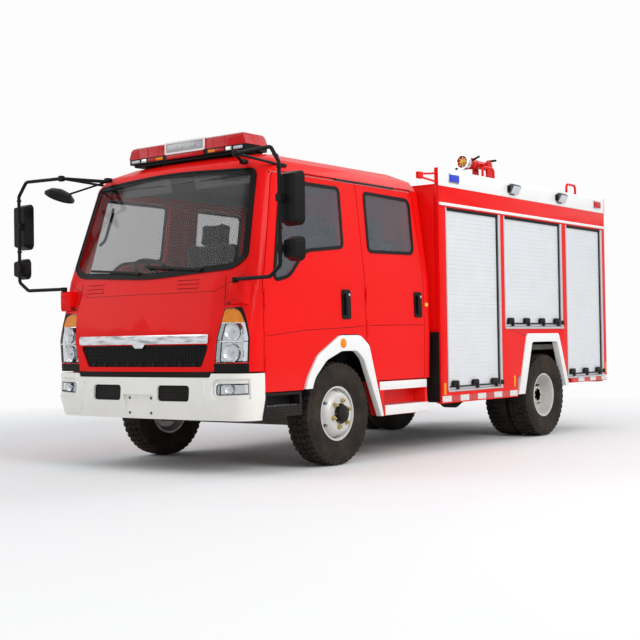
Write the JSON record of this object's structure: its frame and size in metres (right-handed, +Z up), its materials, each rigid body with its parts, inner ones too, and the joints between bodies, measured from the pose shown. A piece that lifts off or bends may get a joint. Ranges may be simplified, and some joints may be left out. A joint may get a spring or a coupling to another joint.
{
  "type": "light fire truck",
  "caption": "Red crew cab fire truck with opening doors, steered front wheels, twin rear wheels, roller shutter lockers, roof light bar and a swivelling water monitor.",
  "frame": {"origin": "on the ground under the middle of the overall box, on the vehicle's centre plane", "axes": "+Z up, front of the truck towards -Y, vehicle's left side towards +X"},
  "size_m": [3.084, 5.989, 2.938],
  "materials": {
    "red_paint": "gloss",
    "white_paint": "gloss",
    "clear_glass": "polished",
    "lamp_lens": "gloss",
    "black_plastic": "matte",
    "chrome_trim": "polished",
    "frame_steel": "satin",
    "alloy": "satin",
    "seat_cloth": "matte",
    "floor_mat": "matte",
    "wheel_paint": "satin",
    "tyre_rubber": "matte",
    "monitor_paint": "gloss"
  },
  "bodies": {
    "chassis": {"arch_trims": "white_paint", "body_floor": "alloy", "body_front_wall": "red_paint", "body_lamps": "lamp_lens", "body_rear_wall": "red_paint", "body_roof": "alloy", "body_sides": "red_paint", "bumper": "white_paint", "cab_floor": "floor_mat", "cab_front": "red_paint", "cab_rear_wall": "red_paint", "cab_roof": "red_paint", "cab_sides": "red_paint", "chrome_bar": "chrome_trim", "cross_members": "frame_steel", "dashboard": "black_plastic", "engine": "frame_steel", "frame_rails": "frame_steel", "front_axle": "frame_steel", "front_lamps": "lamp_lens", "front_steps": "black_plastic", "grilles": "black_plastic", "light_bar_base": "black_plastic", "light_bar_lenses": "lamp_lens", "lockers": "alloy", "mirror_arms": "black_plastic", "mirror_heads": "black_plastic", "monitor_base": "monitor_paint", "parapet": "white_paint", "rear_axle": "frame_steel", "rear_ladder": "alloy", "rear_step": "alloy", "roof_handles": "red_paint", "seats": "seat_cloth", "shutters": "alloy", "side_steps": "red_paint", "side_tanks": "frame_steel", "windscreen": "clear_glass", "wipers": "black_plastic"},
    "knuckle_left": {"knuckle_left": "frame_steel"},
    "knuckle_right": {"knuckle_right": "frame_steel"},
    "front_wheel_left": {"wheel_front_left": "wheel_paint", "tyre_front_left": "tyre_rubber"},
    "front_wheel_right": {"wheel_front_right": "wheel_paint", "tyre_front_right": "tyre_rubber"},
    "rear_wheel_left": {"wheels_rear_left": "wheel_paint", "tyres_rear_left": "tyre_rubber"},
    "rear_wheel_right": {"wheels_rear_right": "wheel_paint", "tyres_rear_right": "tyre_rubber"},
    "front_door_left": {"door_front_left": "red_paint", "door_glass_front_left": "clear_glass"},
    "front_door_right": {"door_front_right": "red_paint", "door_glass_front_right": "clear_glass"},
    "rear_door_left": {"door_rear_left": "red_paint", "door_glass_rear_left": "clear_glass"},
    "rear_door_right": {"door_rear_right": "red_paint", "door_glass_rear_right": "clear_glass"},
    "steering_wheel": {"steering_wheel": "black_plastic"},
    "monitor_yoke": {"monitor_yoke": "monitor_paint"},
    "monitor_barrel": {"monitor_barrel": "monitor_paint"}
  },
  "joints": [
    {"name": "steer_left", "type": "hinge", "parent": "chassis", "child": "knuckle_left", "pos_m": [0.8, -1.83, 0.4025], "axis": [0, 0, 1], "range_deg": [-33, 33]},
    {"name": "steer_right", "type": "hinge", "parent": "chassis", "child": "knuckle_right", "pos_m": [-0.8, -1.83, 0.4025], "axis": [0, 0, 1], "range_deg": [-33, 33]},
    {"name": "steering_wheel_turn", "type": "hinge", "parent": "chassis", "child": "steering_wheel", "pos_m": [-0.47, -2.3, 1.53], "axis": [0, 0.5736, 0.8192], "range_deg": [-470, 470]},
    {"name": "front_wheel_left_roll", "type": "hinge", "parent": "knuckle_left", "child": "front_wheel_left", "pos_m": [0.915, -1.83, 0.4025], "axis": [1, 0, 0], "continuous": true},
    {"name": "front_wheel_right_roll", "type": "hinge", "parent": "knuckle_right", "child": "front_wheel_right", "pos_m": [-0.915, -1.83, 0.4025], "axis": [1, 0, 0], "continuous": true},
    {"name": "rear_wheel_left_roll", "type": "hinge", "parent": "chassis", "child": "rear_wheel_left", "pos_m": [0.87, 1.45, 0.4025], "axis": [1, 0, 0], "continuous": true},
    {"name": "rear_wheel_right_roll", "type": "hinge", "parent": "chassis", "child": "rear_wheel_right", "pos_m": [-0.87, 1.45, 0.4025], "axis": [1, 0, 0], "continuous": true},
    {"name": "front_door_left_swing", "type": "hinge", "parent": "chassis", "child": "front_door_left", "pos_m": [1.034, -2.722, 1.027], "axis": [0, 0, -1], "range_deg": [0, 70]},
    {"name": "front_door_right_swing", "type": "hinge", "parent": "chassis", "child": "front_door_right", "pos_m": [-1.034, -2.722, 1.027], "axis": [0, 0, 1], "range_deg": [0, 70]},
    {"name": "rear_door_left_swing", "type": "hinge", "parent": "chassis", "child": "rear_door_left", "pos_m": [1.034, -1.466, 1.195], "axis": [0, 0, -1], "range_deg": [0, 70]},
    {"name": "rear_door_right_swing", "type": "hinge", "parent": "chassis", "child": "rear_door_right", "pos_m": [-1.034, -1.466, 1.195], "axis": [0, 0, 1], "range_deg": [0, 70]},
    {"name": "monitor_turn", "type": "hinge", "parent": "chassis", "child": "monitor_yoke", "pos_m": [0, 2.19, 2.61], "axis": [0, 0, 1], "continuous": true},
    {"name": "monitor_tilt", "type": "hinge", "parent": "monitor_yoke", "child": "monitor_barrel", "pos_m": [0, 2.19, 2.86], "axis": [-1, 0, 0], "range_deg": [-15, 60]}
  ],
  "couplings": [
    {"joint": "steer_right", "follows": "steer_left", "ratio": 1},
    {"joint": "steering_wheel_turn", "follows": "steer_left", "ratio": 14}
  ]
}
